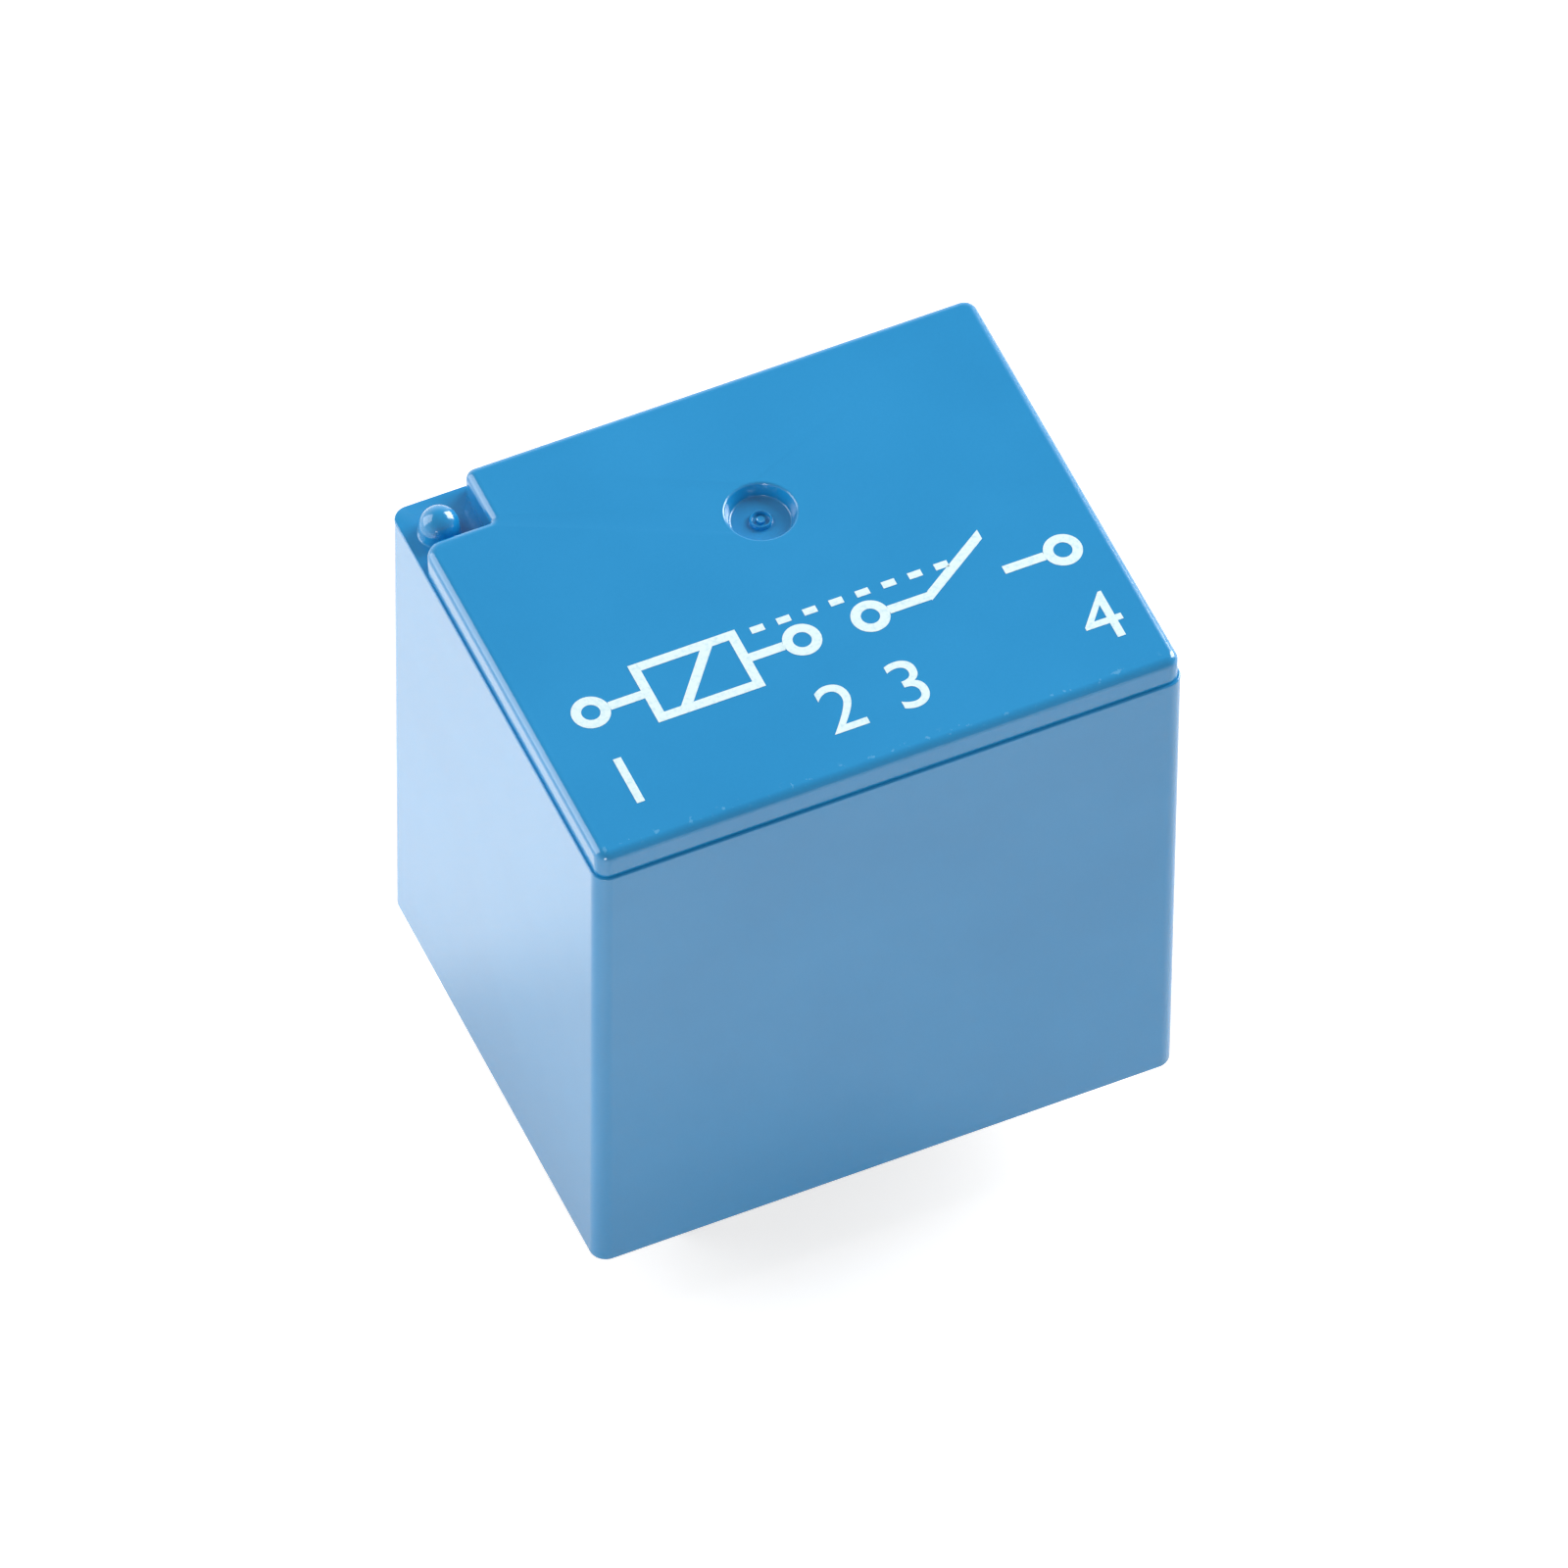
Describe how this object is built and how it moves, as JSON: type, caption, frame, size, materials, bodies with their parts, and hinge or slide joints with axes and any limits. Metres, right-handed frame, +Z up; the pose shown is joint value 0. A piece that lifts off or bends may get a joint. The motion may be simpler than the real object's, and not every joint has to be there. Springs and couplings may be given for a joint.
{
  "type": "pcb power relay",
  "caption": "Sealed blue cube relay for a circuit board: a coil pulls a hinged armature whose leaf spring closes one normally open contact between pins under the case.",
  "frame": {"origin": "centre of the seat on the board, in the plane of the cover's open rim; the pins stand below it", "axes": "+Z up out of the board, X along the long side from the common pin to the contact pin, Y across it"},
  "size_m": [0.0198, 0.016, 0.0237],
  "materials": {
    "case_plastic": "smooth moulded plastic",
    "base_plastic": "moulded plastic",
    "resin": "cast resin",
    "plated_steel": "dull zinc plating",
    "bobbin_plastic": "moulded plastic",
    "copper_wire": "enamelled copper wire",
    "tinned_pin": "tinned copper",
    "solder": "bright solder",
    "tinned_strip": "tinned brass strip",
    "copper_rivet": "copper",
    "contact_silver": "silver alloy",
    "spring_bronze": "rolled spring bronze"
  },
  "bodies": {
    "housing": {"cover": "case_plastic", "base": "base_plastic", "sealing_resin": "resin", "yoke": "plated_steel", "core": "plated_steel", "bobbin": "bobbin_plastic", "coil_winding": "copper_wire", "coil_pin_a": "tinned_pin", "coil_pin_b": "tinned_pin", "coil_solder": "solder", "com_terminal": "tinned_strip", "com_rivet": "copper_rivet", "spring_rivets": "copper_rivet", "no_terminal": "tinned_strip", "no_contact": "contact_silver", "back_stop": "tinned_strip"},
    "armature": {"armature": "plated_steel", "armature_rivets": "copper_rivet", "moving_contact": "contact_silver", "contact_spring": "spring_bronze"}
  },
  "joints": [
    {"name": "armature_hinge", "type": "hinge", "parent": "housing", "child": "armature", "pos_m": [-0.0071, 0, 0.01548], "axis": [0, 1, 0], "range_deg": [0, 2], "stiffness_Nm_per_rad": 0.02, "springref_deg": -8.59, "deforming": ["contact_spring"]}
  ]
}
